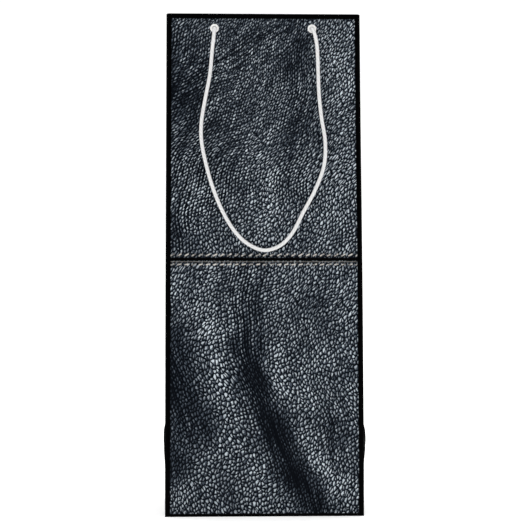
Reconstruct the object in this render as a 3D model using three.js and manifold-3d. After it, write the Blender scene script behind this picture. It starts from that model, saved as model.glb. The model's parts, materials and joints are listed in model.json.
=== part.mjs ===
// A bottle-sized paper gift bag with a block bottom, side gussets, turned-in top hems
// and two cord handles held by eyelets and knots.
// Millimetres, +Z up. The origin is the centre of the base, on the surface the bag stands on.
// The front faces -Y, and left and right are as seen from the front.

import * as THREE from "three";
import { mergeVertices } from "three/addons/utils/BufferGeometryUtils.js";
import Module from "manifold-3d";

// ---- Driving dimensions -------------------------------------------------------------------

const WIDTH = 138;              // across the front face
const DEPTH = 88.9;             // front to back, at the base
const HEIGHT = 355.6;           // of the upright bag
const PAPER = 0.4;              // laminated paper
const CREASE_HEIGHT = 44.45;    // of the block bottom's crease, where the walls start to lean
const REST_LEAN_DEG = 6;        // how far each wall leans in from upright at rest

const HEM_HEIGHT = 40;          // of the paper turned in at the mouth
const TOP_CARD_HEIGHT = 36;     // of the stiffener inside the turned hem
const TOP_CARD_THICKNESS = 0.8;
const TOP_CARD_INSET = 6;       // from the wall's side edges to the stiffener and hem
const SEAM_FLAP_WIDTH = 15;     // of the glued flap that closes the paper tube
const SEAM_FLAP_INSET = 2;      // from the corner to the glued flap

const HANDLE_SPACING = 69.6;    // between the two eyelets of a wall
const HANDLE_DROP = 11;         // from the mouth's edge down to the eyelets
const CORD_DIAMETER = 2.7;
const EYELET_BORE = 3.4;
const EYELET_BARREL = 4.2;      // outer diameter of the barrel
const EYELET_FLANGE = 6.2;      // outer diameter of both flanges
const EYELET_FLANGE_THICKNESS = 0.5;
const KNOT_WIDTH = 8;
const KNOT_THICKNESS = 5.6;
const KNOT_TAIL = 14;           // from the knot's middle to the cord's cut end

const BASE_CARD_THICKNESS = 1.5;
const BASE_CARD_CLEARANCE = 2.6; // to the walls, so that the card can tilt up
const FLAP_OVERLAP = 8;         // past the middle, of the front and back bottom flaps
const SIDE_FLAP_DEPTH = 38;

const GUSSET_BULGE = 3.6;       // how far a gusset pokes out above the crease
const BULGE_REACH = 30;         // half the height of that bulge
const BULGE_RISE = 5;           // from the crease up to the bulge's middle
const FOLD_START = 14;          // from the crease up to where the gusset starts to fold in
const FOLD_SHAPE = 2.2;         // exponent of the gusset's fold: larger folds in lower down

const GAP = 0.3;                // between pieces that meet at a fold or in a turned group
const LAYER_GAP = 0.05;         // between layers that lie on each other

// The handle's loop as it hangs, in the wall's plane: across, and down from the eyelets.
const LOOP = [
  [-34.8, 0], [-35.4, 7.7], [-36.4, 16.3], [-38, 33.6], [-41.2, 50.9], [-44, 68.3],
  [-44, 81.5], [-40.7, 98.8], [-35.7, 116.2], [-28.5, 133.5], [-20, 147.2], [-11.1, 155.5],
  [0, 159.8], [11.1, 156.5], [19.5, 148], [27.2, 133.5], [36.4, 116.2], [42.6, 98.8],
  [43.4, 81.5], [41, 65.2], [39.3, 46.9], [38.8, 29.4], [37.9, 12.2], [36.1, 4.1],
  [34.8, 0],
];

// ---- Values worked out from them ----------------------------------------------------------

const LEAN = THREE.MathUtils.degToRad(REST_LEAN_DEG);
const WALL_HEIGHT = HEIGHT - CREASE_HEIGHT;
const EYELET_HEIGHT = WALL_HEIGHT - HANDLE_DROP;
const HOLE_RADIUS = EYELET_BARREL / 2 + 0.2;
const CARD_Y = PAPER + LAYER_GAP;
const HEM_Y = CARD_Y + TOP_CARD_THICKNESS + LAYER_GAP;
const STACK = HEM_Y + PAPER;                 // thickness of the wall at its eyelets
const GUSSET_Y = 2 * PAPER + GAP;            // where a gusset starts, in from a wall's face
const LAYER = PAPER + LAYER_GAP;
const CORD_Y = -(EYELET_FLANGE_THICKNESS + GAP + CORD_DIAMETER / 2);
const HALF = DEPTH / 2;
const MOUTH_HALF = HALF - WALL_HEIGHT * Math.sin(LEAN);
const FOLD_AT_MOUTH = Math.sqrt(HALF * HALF - MOUTH_HALF * MOUTH_HALF);

// ---- Materials ----------------------------------------------------------------------------

const finish = (color, roughness, metalness = 0) =>
  new THREE.MeshStandardMaterial({ color, roughness, metalness });

const printed = finish(0x4b525b, 0.35);
const blackPaper = finish(0x101114, 0.4);
const whitePaper = finish(0xe9e8e4, 0.8);
const card = finish(0xb9b3a6, 0.9);
const eyeletWhite = finish(0xf2f1ee, 0.3);
const cordWhite = finish(0xf1f0ec, 0.75);

// ---- Solids -------------------------------------------------------------------------------

const wasm = await Module();
wasm.setup();

// A manifold-3d solid of a closed geometry.
function solidOf(geometry) {
  const bare = new THREE.BufferGeometry();
  const flat = geometry.index ? geometry.toNonIndexed() : geometry;
  bare.setAttribute("position", flat.getAttribute("position"));
  const merged = mergeVertices(bare, 1e-4);
  return new wasm.Manifold(new wasm.Mesh({
    numProp: 3,
    vertProperties: merged.getAttribute("position").array,
    triVerts: new Uint32Array(merged.index.array),
  }));
}

// The joined geometry of several closed geometries that overlap.
function joined(...geometries) {
  const mesh = geometries.map(solidOf).reduce((a, b) => a.add(b)).getMesh();
  const geometry = new THREE.BufferGeometry();
  geometry.setAttribute("position", new THREE.BufferAttribute(mesh.vertProperties, 3));
  geometry.setIndex(new THREE.BufferAttribute(mesh.triVerts, 1));
  return geometry;
}

// A sheet: the space between the surface outer(u, v) and inner(u, v), for u and v from 0 to 1.
function sheet(outer, inner, stepsU, stepsV) {
  const positions = [];
  const corner = (surface, i, j) => surface(i / stepsU, j / stepsV);
  const quad = (a, b, c, d) => positions.push(...a, ...b, ...c, ...a, ...c, ...d);
  for (let i = 0; i < stepsU; i++) {
    for (let j = 0; j < stepsV; j++) {
      quad(corner(outer, i, j), corner(outer, i + 1, j),
        corner(outer, i + 1, j + 1), corner(outer, i, j + 1));
      quad(corner(inner, i, j), corner(inner, i, j + 1),
        corner(inner, i + 1, j + 1), corner(inner, i + 1, j));
    }
  }
  for (let i = 0; i < stepsU; i++) {
    quad(corner(outer, i + 1, 0), corner(outer, i, 0), corner(inner, i, 0), corner(inner, i + 1, 0));
    quad(corner(outer, i, stepsV), corner(outer, i + 1, stepsV),
      corner(inner, i + 1, stepsV), corner(inner, i, stepsV));
  }
  for (let j = 0; j < stepsV; j++) {
    quad(corner(outer, 0, j), corner(outer, 0, j + 1), corner(inner, 0, j + 1), corner(inner, 0, j));
    quad(corner(outer, stepsU, j + 1), corner(outer, stepsU, j),
      corner(inner, stepsU, j), corner(inner, stepsU, j + 1));
  }
  const geometry = new THREE.BufferGeometry();
  geometry.setAttribute("position", new THREE.Float32BufferAttribute(positions, 3));
  return geometry;
}

// An upright sheet in the XZ plane, with its outer face at y and its thickness towards +Y.
function upright(x0, x1, z0, z1, y, thickness, holes = []) {
  const shape = new THREE.Shape([
    new THREE.Vector2(x0, z0), new THREE.Vector2(x1, z0),
    new THREE.Vector2(x1, z1), new THREE.Vector2(x0, z1),
  ]);
  for (const [x, z, radius] of holes) {
    shape.holes.push(new THREE.Path().absarc(x, z, radius, 0, 2 * Math.PI, true));
  }
  return new THREE.ExtrudeGeometry(shape, { depth: thickness, bevelEnabled: false, curveSegments: 10 })
    .rotateX(Math.PI / 2).translate(0, y + thickness, 0);
}

// A level sheet with this outline, its lower face at z.
function level(outline, z, thickness) {
  const shape = new THREE.Shape(outline.map(([x, y]) => new THREE.Vector2(x, y)));
  return new THREE.ExtrudeGeometry(shape, { depth: thickness, bevelEnabled: false }).translate(0, 0, z);
}

// A solid of revolution whose axis runs towards +Y, from points of (radius, y).
function turned(points, segments) {
  const profile = points.map(([radius, y]) => new THREE.Vector2(radius, y));
  return new THREE.LatheGeometry(profile, segments);
}

function named(name, geometry, material) {
  const mesh = new THREE.Mesh(geometry, material);
  mesh.name = name;
  return mesh;
}

// ---- The gusset's shape -------------------------------------------------------------------

// How far the gusset's middle has folded in, at a height above the crease.
function foldIn(height) {
  const s = Math.max(0, (height - FOLD_START) / (WALL_HEIGHT - FOLD_START));
  return FOLD_AT_MOUTH * (1 - (1 - s) ** FOLD_SHAPE);
}

// How far the gusset's middle pokes out, at a height above the crease.
function bulge(height) {
  const t = (height - BULGE_RISE) / BULGE_REACH;
  return Math.abs(t) < 1 ? GUSSET_BULGE * Math.cos(t * Math.PI / 2) ** 2 : 0;
}

// A point of a front half gusset on the side +1 or -1: u from the wall to the middle fold,
// height along the wall above the crease, and inset inwards from the outer face.
function gussetPoint(side, u, height, inset) {
  const startY = -HALF + GUSSET_Y * Math.cos(LEAN) + height * Math.sin(LEAN);
  const z = CREASE_HEIGHT - GUSSET_Y * Math.sin(LEAN) + height * Math.cos(LEAN);
  const across = -GAP / 2 - startY;
  const fold = foldIn(height);
  const length = Math.hypot(fold, across);
  const x = WIDTH / 2 - fold * u + bulge(height) * u * (2 - u) - inset * across / length;
  const y = startY + across * u - inset * fold / length;
  return [side * x, y, z];
}

// The part of a front half gusset from u0 to 1 and between two heights, as a sheet.
function halfGusset(side, u0, low, high, inset, steps) {
  const surface = (depth) => (u, v) =>
    gussetPoint(side, u0 + (1 - u0) * u, low + (high - low) * v, depth);
  const outer = surface(inset);
  const inner = surface(inset + PAPER);
  return side > 0 ? sheet(outer, inner, 4, steps) : sheet(inner, outer, 4, steps);
}

// A gusset below the crease, from the front wall to the back wall.
function lowerGusset(side) {
  const reach = HALF - PAPER - GAP;
  const top = CREASE_HEIGHT - GAP;
  const surface = (inset) => (u, v) => {
    const w = 2 * u - 1;
    const x = WIDTH / 2 + bulge(top * v - CREASE_HEIGHT) * (1 - w * w) - inset;
    return [side * x, reach * w, top * v];
  };
  return side > 0 ? sheet(surface(0), surface(PAPER), 8, 6) : sheet(surface(PAPER), surface(0), 8, 6);
}

// ---- One wall with its handle -------------------------------------------------------------

// The parts that lean with a wall. They are placed for the front and turned round for the back.
function wall(prefix, turn) {
  const placed = new THREE.Group();
  placed.rotation.z = turn;
  const leaning = new THREE.Group();
  leaning.position.set(0, -HALF, CREASE_HEIGHT);
  leaning.rotation.x = -LEAN;
  placed.add(leaning);

  const half = WIDTH / 2;
  const inner = half - TOP_CARD_INSET;
  const eyeletX = HANDLE_SPACING / 2;
  const holes = [-eyeletX, eyeletX].map((x) => [x, EYELET_HEIGHT, HOLE_RADIUS]);
  const top = WALL_HEIGHT;
  leaning.add(
    named(`${prefix}_upper_panel`,
      upright(-half, half, GAP, top, 0, PAPER, holes), printed),
    named(`${prefix}_top_card`,
      upright(-inner, inner, top - TOP_CARD_HEIGHT, top - LAYER, CARD_Y, TOP_CARD_THICKNESS, holes), card),
    named(`${prefix}_top_hem`,
      upright(-inner, inner, top - HEM_HEIGHT, top, HEM_Y, PAPER, holes), blackPaper),
  );

  for (const localSide of [-1, 1]) {
    const word = localSide * Math.cos(turn) < 0 ? "left" : "right";
    const eyelet = named(`${prefix}_${word}_eyelet`, eyeletGeometry(), eyeletWhite);
    const knot = named(`${prefix}_${word}_knot`, knotGeometry(), cordWhite);
    for (const piece of [eyelet, knot]) {
      piece.position.set(localSide * eyeletX, 0, EYELET_HEIGHT);
      leaning.add(piece);
    }
    placed.add(
      named(`${prefix}_${word}_half_gusset`,
        halfGusset(localSide, 0, GAP, top, 0, 14), blackPaper),
      named(`${prefix}_${word}_gusset_hem`,
        halfGusset(localSide, hemStart(), top - HEM_HEIGHT, top, PAPER + GAP, 4), blackPaper),
    );
  }
  leaning.add(named(`${prefix}_handle_cord`, cordGeometry(), cordWhite));
  return { placed, leaning };
}

// Where a gusset's hem starts, so that it clears the wall's own hem at the mouth.
function hemStart() {
  const across = MOUTH_HALF - GUSSET_Y;
  return (STACK + 2 * PAPER + 2 * GAP - GUSSET_Y) / across;
}

// An eyelet: a barrel through the wall's layers with a flange on each face.
function eyeletGeometry() {
  const bore = EYELET_BORE / 2;
  const barrel = EYELET_BARREL / 2;
  const flange = EYELET_FLANGE / 2;
  const outer = -EYELET_FLANGE_THICKNESS;
  const inner = STACK + LAYER_GAP;
  const round = 0.2;
  return turned([
    [bore, outer + round], [bore + round, outer], [flange - round, outer], [flange, outer + round],
    [flange, -LAYER_GAP], [barrel, -LAYER_GAP], [barrel, inner], [flange, inner],
    [flange, inner + EYELET_FLANGE_THICKNESS], [bore, inner + EYELET_FLANGE_THICKNESS],
    [bore, outer + round],
  ], 20);
}

// A stopper knot inside the wall, the cord's end that hangs from it, and the cord in the eyelet.
function knotGeometry() {
  const cord = CORD_DIAMETER / 2;
  const near = STACK + LAYER_GAP + EYELET_FLANGE_THICKNESS + GAP;
  const middle = near + KNOT_THICKNESS / 2;
  const ball = new THREE.SphereGeometry(1, 12, 8)
    .scale(KNOT_WIDTH / 2, KNOT_THICKNESS / 2, KNOT_WIDTH / 2).translate(0, middle, 0);
  const stub = turned([[0, CORD_Y + cord + GAP], [cord, CORD_Y + cord + GAP], [cord, middle], [0, middle]], 8);
  const tail = turned([[0, -KNOT_TAIL], [cord, -KNOT_TAIL], [cord, 0], [0, 0]], 8)
    .rotateX(Math.PI / 2).translate(0, middle, 0);
  return joined(ball, stub, tail);
}

// The handle's loop as it hangs in front of the wall, in the wall's frame.
function cordGeometry() {
  const points = LOOP.map(([x, down]) => new THREE.Vector3(x, CORD_Y, EYELET_HEIGHT - down));
  const path = new THREE.CatmullRomCurve3(points, false, "centripetal");
  const sides = 8;
  const section = new THREE.Shape(Array.from({ length: sides }, (_, i) => {
    const angle = 2 * Math.PI * i / sides;
    return new THREE.Vector2(Math.cos(angle), Math.sin(angle)).multiplyScalar(CORD_DIAMETER / 2);
  }));
  return new THREE.ExtrudeGeometry(section, { steps: 72, extrudePath: path, bevelEnabled: false });
}

// ---- The base -----------------------------------------------------------------------------

// The four bottom flaps lie on each other: front, back, then the two sides.
function bottomFlaps() {
  const x = WIDTH / 2 - PAPER - GAP;
  const y = HALF - PAPER - GAP;
  const cut = HALF * 0.6;
  const long = (side) => [
    [-x, side * y], [x, side * y], [x, side * (y - 4)], [x - cut, -side * FLAP_OVERLAP],
    [-x + cut, -side * FLAP_OVERLAP], [-x, side * (y - 4)],
  ];
  const short = (side) => [
    [side * x, -y], [side * x, y], [side * (x - 4), y], [side * (x - SIDE_FLAP_DEPTH), y * 0.3],
    [side * (x - SIDE_FLAP_DEPTH), -y * 0.3], [side * (x - 4), -y],
  ];
  const flap = (outline, layer) => level(outline, layer * LAYER, PAPER);
  return [
    named("bottom_front_flap", flap(long(-1), 0), blackPaper),
    named("bottom_back_flap", flap(long(1).reverse(), 1), blackPaper),
    named("bottom_left_flap", flap(short(-1).reverse(), 2), whitePaper),
    named("bottom_right_flap", flap(short(1), 2), whitePaper),
  ];
}

function base() {
  const group = new THREE.Group();
  const half = WIDTH / 2;
  const top = CREASE_HEIGHT;
  group.add(
    named("front_lower_panel", upright(-half, half, 0, top, -HALF, PAPER), printed),
    named("back_lower_panel", upright(-half, half, 0, top, HALF - PAPER, PAPER), printed),
    named("left_lower_gusset", lowerGusset(-1), blackPaper),
    named("right_lower_gusset", lowerGusset(1), blackPaper),
    ...bottomFlaps(),
  );
  const cardX = half - BASE_CARD_CLEARANCE;
  const cardY = HALF - PAPER - BASE_CARD_CLEARANCE;
  const outline = [[-cardX, -cardY], [cardX, -cardY], [cardX, cardY], [-cardX, cardY]];
  group.add(named("base_card", level(outline, 3 * LAYER, BASE_CARD_THICKNESS), card));
  return group;
}

// The glued flap that closes the paper tube, inside the back wall at the left.
function seamFlap(name, low, high) {
  const x1 = WIDTH / 2 - SEAM_FLAP_INSET;
  return named(name, upright(x1 - SEAM_FLAP_WIDTH, x1, low, high, CARD_Y, PAPER), whitePaper);
}

// ---- The bag ------------------------------------------------------------------------------

const bag = new THREE.Group();
const front = wall("front", 0);
const back = wall("back", Math.PI);
back.leaning.add(seamFlap("back_seam_flap", GAP, WALL_HEIGHT - HEM_HEIGHT - GAP));
const lowerSeam = new THREE.Group();
lowerSeam.rotation.z = Math.PI;
lowerSeam.position.y = HALF;
lowerSeam.add(seamFlap("back_lower_seam_flap", 3 * LAYER, CREASE_HEIGHT));
bag.add(front.placed, back.placed, base(), lowerSeam);

export default bag;
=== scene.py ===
import json
import math

import bpy
import numpy as np
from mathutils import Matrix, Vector


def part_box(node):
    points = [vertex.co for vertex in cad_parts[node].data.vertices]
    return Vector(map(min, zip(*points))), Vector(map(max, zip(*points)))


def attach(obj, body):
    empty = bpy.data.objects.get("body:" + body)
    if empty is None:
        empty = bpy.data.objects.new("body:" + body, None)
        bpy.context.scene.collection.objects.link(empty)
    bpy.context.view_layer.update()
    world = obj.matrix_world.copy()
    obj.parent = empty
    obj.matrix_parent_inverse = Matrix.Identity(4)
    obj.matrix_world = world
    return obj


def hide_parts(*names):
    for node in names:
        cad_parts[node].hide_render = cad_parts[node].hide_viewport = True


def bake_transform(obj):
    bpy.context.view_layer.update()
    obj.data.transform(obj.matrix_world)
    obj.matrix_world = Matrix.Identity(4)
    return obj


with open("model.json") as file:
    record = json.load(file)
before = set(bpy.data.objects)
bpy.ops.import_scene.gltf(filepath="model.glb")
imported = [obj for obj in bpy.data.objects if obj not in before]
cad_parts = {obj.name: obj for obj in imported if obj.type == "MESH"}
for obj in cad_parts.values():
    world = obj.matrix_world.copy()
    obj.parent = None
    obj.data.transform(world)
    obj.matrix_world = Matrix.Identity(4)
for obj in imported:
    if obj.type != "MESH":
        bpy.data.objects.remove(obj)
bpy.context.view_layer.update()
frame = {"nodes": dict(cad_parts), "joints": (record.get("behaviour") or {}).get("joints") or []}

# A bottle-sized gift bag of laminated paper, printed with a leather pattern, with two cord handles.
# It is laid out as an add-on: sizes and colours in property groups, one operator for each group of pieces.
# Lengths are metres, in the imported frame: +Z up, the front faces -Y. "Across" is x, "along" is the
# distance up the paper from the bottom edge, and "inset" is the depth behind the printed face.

bl_info = {
    "name": "Paper Bottle Bag",
    "version": (1, 0, 0),
    "blender": (4, 5, 0),
    "location": "3D View > Sidebar > Bag",
    "description": "Builds a printed paper gift bag round its packed frame",
    "category": "Add Mesh",
}

JOINTS = {joint["name"]: joint for joint in frame["joints"]}
MM = 0.001

# ---- Sizes read from the frame ------------------------------------------------------------------

LOWER_LOW, LOWER_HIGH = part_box("front_lower_panel")
HALF_WIDTH = LOWER_HIGH[0]
HALF_DEPTH = -LOWER_LOW[1]
PAPER = LOWER_HIGH[1] - LOWER_LOW[1]
CREASE = JOINTS["front_wall_lean"]["pos_m"][2]
LEAN = math.radians(JOINTS["front_wall_lean"]["range_deg"][1])   # the wall opens until it is upright
WALL = (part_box("front_upper_panel")[1][2] - CREASE) / math.cos(LEAN)
TOTAL = CREASE + WALL                                            # the face's length along the paper
MOUTH_HALF = HALF_DEPTH - WALL * math.sin(LEAN)
FOLD_AT_MOUTH = math.sqrt(HALF_DEPTH ** 2 - MOUTH_HALF ** 2)

HINGE = JOINTS["front_handle_swing"]["pos_m"]
HINGE_OUT = HINGE[1] + HALF_DEPTH
HINGE_INSET = HINGE_OUT * math.cos(LEAN) - (HINGE[2] - CREASE) * math.sin(LEAN)
HINGE_ALONG = CREASE + HINGE_OUT * math.sin(LEAN) + (HINGE[2] - CREASE) * math.cos(LEAN)
EYELET_LOW, EYELET_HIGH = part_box("front_right_eyelet")
EYELET_X = (EYELET_LOW[0] + EYELET_HIGH[0]) / 2
EYELET_RADIUS = (EYELET_HIGH[0] - EYELET_LOW[0]) / 2

HOLE_RADIUS = 2.3 * MM
HOLE_CELL = HOLE_RADIUS / 2     # the grid's squares next to a hole
HOLE_PATCH = 4 * HOLE_CELL      # how far they reach from its middle
STACK = 1.7 * MM                # from the printed face to the inside of the turned hem
HEM_HEIGHT = 40 * MM
HEM_HALF_WIDTH = HALF_WIDTH - 6 * MM
SEAM_FLAP_WIDTH = 15 * MM
GUSSET_INSET = 0.55 * MM        # from the printed face to the gusset's edge
KNOT_INSET = STACK + 3.6 * MM   # from the printed face to the middle of a stopper knot
TAIL = 14 * MM                  # the cord's cut end below its knot

# The handle's loop as it hangs, in millimetres: across, and down from the eyelets.
LOOP = [
    (-34.8, 0), (-35.4, 7.7), (-36.4, 16.3), (-38, 33.6), (-41.2, 50.9), (-44, 68.3),
    (-44, 81.5), (-40.7, 98.8), (-35.7, 116.2), (-28.5, 133.5), (-20, 147.2), (-11.1, 155.5),
    (0, 159.8), (11.1, 156.5), (19.5, 148), (27.2, 133.5), (36.4, 116.2), (42.6, 98.8),
    (43.4, 81.5), (41, 65.2), (39.3, 46.9), (38.8, 29.4), (37.9, 12.2), (36.1, 4.1),
    (34.8, 0),
]

# Soft folds of the printed leather, in millimetres: from (across, along) to (across, along),
# half width, and how much lighter or darker the print is there.
FOLDS = [
    (-15, 118, -8, 96, 8, -1.0), (-8, 96, 8, 60, 8, -1.4), (8, 60, 21, 29, 8, -1.7),
    (21, 29, 36, 6, 8, -1.5), (9, 112, 10, 82, 8, 0.35), (25, 64, 38, 39, 6, 0.3), (38, 39, 53, 18, 9, 0.3),
    (-68, 124, -66, 92, 14, -1.25), (-62, 90, -46, 62, 14, -0.8), (-68, 48, -62, 32, 11, -0.95),
    (-48, 156, -38, 130, 8, 0.2), (-38, 128, -30, 92, 8, 0.25), (-30, 92, -20, 70, 8, 0.12),
    (-9, 160, -8, 130, 7, -0.3), (8, 166, 9, 140, 5, 0.15), (40, 150, 42, 132, 7, -0.22),
    (60, 160, 60, 120, 8, 0.1), (44, 66, 48, 48, 9, -0.25), (-57, 14, -52, 24, 8, 0.25),
    (-28, 22, -20, 10, 8, -0.2), (-8, 26, -4, 8, 10, 0.15), (-66, 330, -60, 296, 15, -0.62),
    (-64, 290, -58, 262, 12, -0.3), (-30, 344, 10, 344, 12, -0.1), (-34, 322, 10, 304, 26, 0.17),
    (26, 336, 20, 318, 8, -0.35), (20, 318, -14, 286, 8, -0.22), (24, 300, 30, 276, 11, -0.2),
    (48, 330, 62, 312, 8, 0.2), (60, 308, 56, 290, 9, 0.15), (-8, 262, 4, 238, 11, 0.3),
    (4, 238, -2, 206, 12, 0.25), (-58, 250, -54, 214, 12, 0.1), (56, 240, 52, 200, 14, 0.22),
    (-64, 204, -58, 190, 9, -0.3), (-40, 240, -30, 200, 12, 0.08), (30, 250, 30, 214, 12, 0.08),
]

# Where the grain runs in clear rows with dark creases between them, and how deep the creases are there.
ROWS = [
    (-66, 330, -48, 225, 24, 1.0), (-10, 345, -20, 250, 34, 0.8), (22, 340, 24, 232, 13, 0.9),
    (-16, 172, -12, 118, 15, 1.0), (30, 170, 28, 120, 16, 0.5), (-15, 112, -2, 72, 11, 1.0),
    (-2, 72, 14, 38, 11, 1.0), (14, 38, 36, 6, 11, 1.0), (-66, 110, -54, 62, 13, 0.8),
    (-60, 30, -50, 8, 12, 0.4), (45, 70, 50, 40, 14, 0.6), (60, 210, 58, 190, 12, 0.5),
    (-60, 205, -56, 186, 10, 0.7),
]

# Where the rows and creases rise gently to the right instead of running up the bag.
SLOPING = [(-64, 300, 6, 338, 26, 1.0), (-20, 262, 22, 270, 18, 0.8)]


# ---- Settings -----------------------------------------------------------------------------------

class PrintSettings(bpy.types.PropertyGroup):
    """The printed face: the leather picture, its border and its drawn seam."""
    pebble: bpy.props.FloatProperty(
        name="Pebble", description="Size of the leather's grain", default=2.3 * MM, unit="LENGTH")
    side_border: bpy.props.FloatProperty(
        name="Side border", description="Width of the black edge at the sides",
        default=3.6 * MM, unit="LENGTH")
    top_border: bpy.props.FloatProperty(
        name="Top border", description="Width of the black edge at the mouth",
        default=3.9 * MM, unit="LENGTH")
    bottom_border: bpy.props.FloatProperty(
        name="Bottom border", description="Width of the black edge at the base",
        default=2.1 * MM, unit="LENGTH")
    seam_along: bpy.props.FloatProperty(
        name="Seam height", description="Height of the drawn seam", default=178.8 * MM, unit="LENGTH")
    seam_width: bpy.props.FloatProperty(
        name="Seam width", description="Width of the drawn seam's dark line",
        default=2.1 * MM, unit="LENGTH")
    stitch_pitch: bpy.props.FloatProperty(
        name="Stitch pitch", description="From one drawn stitch to the next",
        default=5.0 * MM, unit="LENGTH")
    dark: bpy.props.FloatVectorProperty(
        name="Dark", description="Between the pebbles", subtype="COLOR", size=4,
        default=(0.0018, 0.0027, 0.0044, 1))
    middle: bpy.props.FloatVectorProperty(
        name="Middle", description="On the pebbles", subtype="COLOR", size=4,
        default=(0.050, 0.063, 0.082, 1))
    bright: bpy.props.FloatVectorProperty(
        name="Bright", description="Where light catches", subtype="COLOR", size=4,
        default=(0.60, 0.66, 0.71, 1))
    thread: bpy.props.FloatVectorProperty(
        name="Thread", description="Drawn stitches", subtype="COLOR", size=4,
        default=(0.66, 0.62, 0.57, 1))
    border: bpy.props.FloatVectorProperty(
        name="Border", description="The black edge", subtype="COLOR", size=4,
        default=(0.0001, 0.0001, 0.0002, 1))


class PaperSettings(bpy.types.PropertyGroup):
    """The paper body."""
    bow: bpy.props.FloatProperty(
        name="Bow", description="How far the walls belly out", default=2.2 * MM, unit="LENGTH")
    bend: bpy.props.FloatProperty(
        name="Bend", description="Half the height over which a wall bends at the crease",
        default=16 * MM, unit="LENGTH")
    grid: bpy.props.FloatProperty(
        name="Grid", description="Size of the mesh's squares", default=2.0 * MM, unit="LENGTH")
    left_bulge: bpy.props.FloatProperty(
        name="Left bulge", description="How far the left gusset pokes out",
        default=2.2 * MM, unit="LENGTH")
    right_bulge: bpy.props.FloatProperty(
        name="Right bulge", description="How far the right gusset pokes out",
        default=4.6 * MM, unit="LENGTH")
    black: bpy.props.FloatVectorProperty(
        name="Black", description="Gussets and base", subtype="COLOR", size=4,
        default=(0.0014, 0.0014, 0.0017, 1))
    white: bpy.props.FloatVectorProperty(
        name="White", description="The unprinted side", subtype="COLOR", size=4,
        default=(0.80, 0.79, 0.76, 1))


class CordSettings(bpy.types.PropertyGroup):
    """The handles, their knots and eyelets."""
    diameter: bpy.props.FloatProperty(
        name="Diameter", description="Of the cord", default=2.7 * MM, unit="LENGTH")
    length: bpy.props.FloatProperty(
        name="Length", description="Of one handle from knot to knot", default=370 * MM, unit="LENGTH")
    twist: bpy.props.FloatProperty(
        name="Twist", description="Length of one turn of the strands", default=9 * MM, unit="LENGTH")
    white: bpy.props.FloatVectorProperty(
        name="White", description="Of the cord", subtype="COLOR", size=4, default=(0.78, 0.78, 0.775, 1))


class BagSettings(bpy.types.PropertyGroup):
    """All settings of the bag."""
    print_face: bpy.props.PointerProperty(type=PrintSettings)
    paper: bpy.props.PointerProperty(type=PaperSettings)
    cord: bpy.props.PointerProperty(type=CordSettings)


def settings():
    """The scene's bag settings."""
    return bpy.context.scene.paper_bag


# ---- Meshes -------------------------------------------------------------------------------------

def smooth(t):
    """The smoothstep of t: 3 t^2 - 2 t^3, with t held between 0 and 1."""
    t = np.clip(t, 0, 1)
    return t * t * (3 - 2 * t)


def surface(name, points, uv, close_u=False, close_v=False, keep=None, caps=False):
    """A mesh of quads over a grid of points[i, j], with corner maps from uv[i, j].

    A closed direction joins its last row to its first, and uv has one row more than points there.
    keep[i, j] false leaves out the quad that starts at that corner. caps closes both ends of v."""
    rows, columns = points.shape[:2]
    i, j = np.meshgrid(np.arange(rows - (not close_u)), np.arange(columns - (not close_v)), indexing="ij")
    if keep is not None:
        i, j = i[keep], j[keep]
    i, j = i.ravel(), j.ravel()
    corner_i = np.stack([i, i + 1, i + 1, i], axis=1)
    corner_j = np.stack([j, j, j + 1, j + 1], axis=1)
    used, faces = np.unique((corner_i % rows) * columns + corner_j % columns, return_inverse=True)
    polygons = faces.reshape(corner_i.shape).tolist()
    corners = np.asarray(uv)[corner_i, corner_j].reshape(-1, 2)
    if caps:
        ring = np.arange(rows) * columns
        polygons += [ring[::-1].tolist(), (ring + columns - 1).tolist()]
        corners = np.concatenate([corners, uv[:rows, 0][::-1], uv[:rows, -1]])
    mesh = bpy.data.meshes.new(name)
    mesh.from_pydata(points.reshape(-1, 3)[used], [], polygons)
    layer = mesh.uv_layers.new(name="Surface")
    layer.data.foreach_set("uv", corners.astype(np.float32).ravel())
    mesh.polygons.foreach_set("use_smooth", np.ones(len(mesh.polygons), bool))
    mesh.update()
    piece = bpy.data.objects.new(name, mesh)
    bpy.context.collection.objects.link(piece)
    return piece, used


def vertex_values(piece, name, values):
    """Stores one number for each vertex, for a material to read."""
    attribute = piece.data.attributes.new(name, "FLOAT", "POINT")
    attribute.data.foreach_set("value", np.asarray(values, np.float32).ravel())


def thicken(piece, thickness, materials):
    """Gives a sheet its thickness behind its outer side. materials are for the outside, inside and rim."""
    for material in materials:
        piece.data.materials.append(material)
    solidify = piece.modifiers.new("Thickness", "SOLIDIFY")
    solidify.thickness = thickness
    solidify.offset = -1
    solidify.use_even_offset = False
    solidify.material_offset = 1
    solidify.material_offset_rim = 2


def paint(piece, material):
    """Puts one material on the whole piece."""
    piece.data.materials.clear()
    piece.data.materials.append(material)


# ---- Where the paper lies -----------------------------------------------------------------------

def profile_table():
    """The wall's side profile: depth and height at steps along the paper.

    The tilt grows from upright to the full lean as a smoothstep over the bend, and the
    profile is the running sum of the tilt's sine and cosine."""
    along = np.linspace(0, TOTAL, 4001)
    bend = settings().paper.bend
    tilt = LEAN * smooth((along - CREASE + bend) / (2 * bend))
    step = along[1]
    depth = np.concatenate([[0], np.cumsum((np.sin(tilt[1:]) + np.sin(tilt[:-1])) / 2 * step)])
    height = np.concatenate([[0], np.cumsum((np.cos(tilt[1:]) + np.cos(tilt[:-1])) / 2 * step)])
    return along, tilt, depth, height


def bow(along):
    """How far the wall stands proud: a squared sine from below the crease to just below the hem."""
    t = np.clip((along - CREASE * 0.5) / (TOTAL - HEM_HEIGHT * 1.2 - CREASE * 0.5), 0, 1)
    return settings().paper.bow * np.sin(math.pi * t) ** 2


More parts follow.
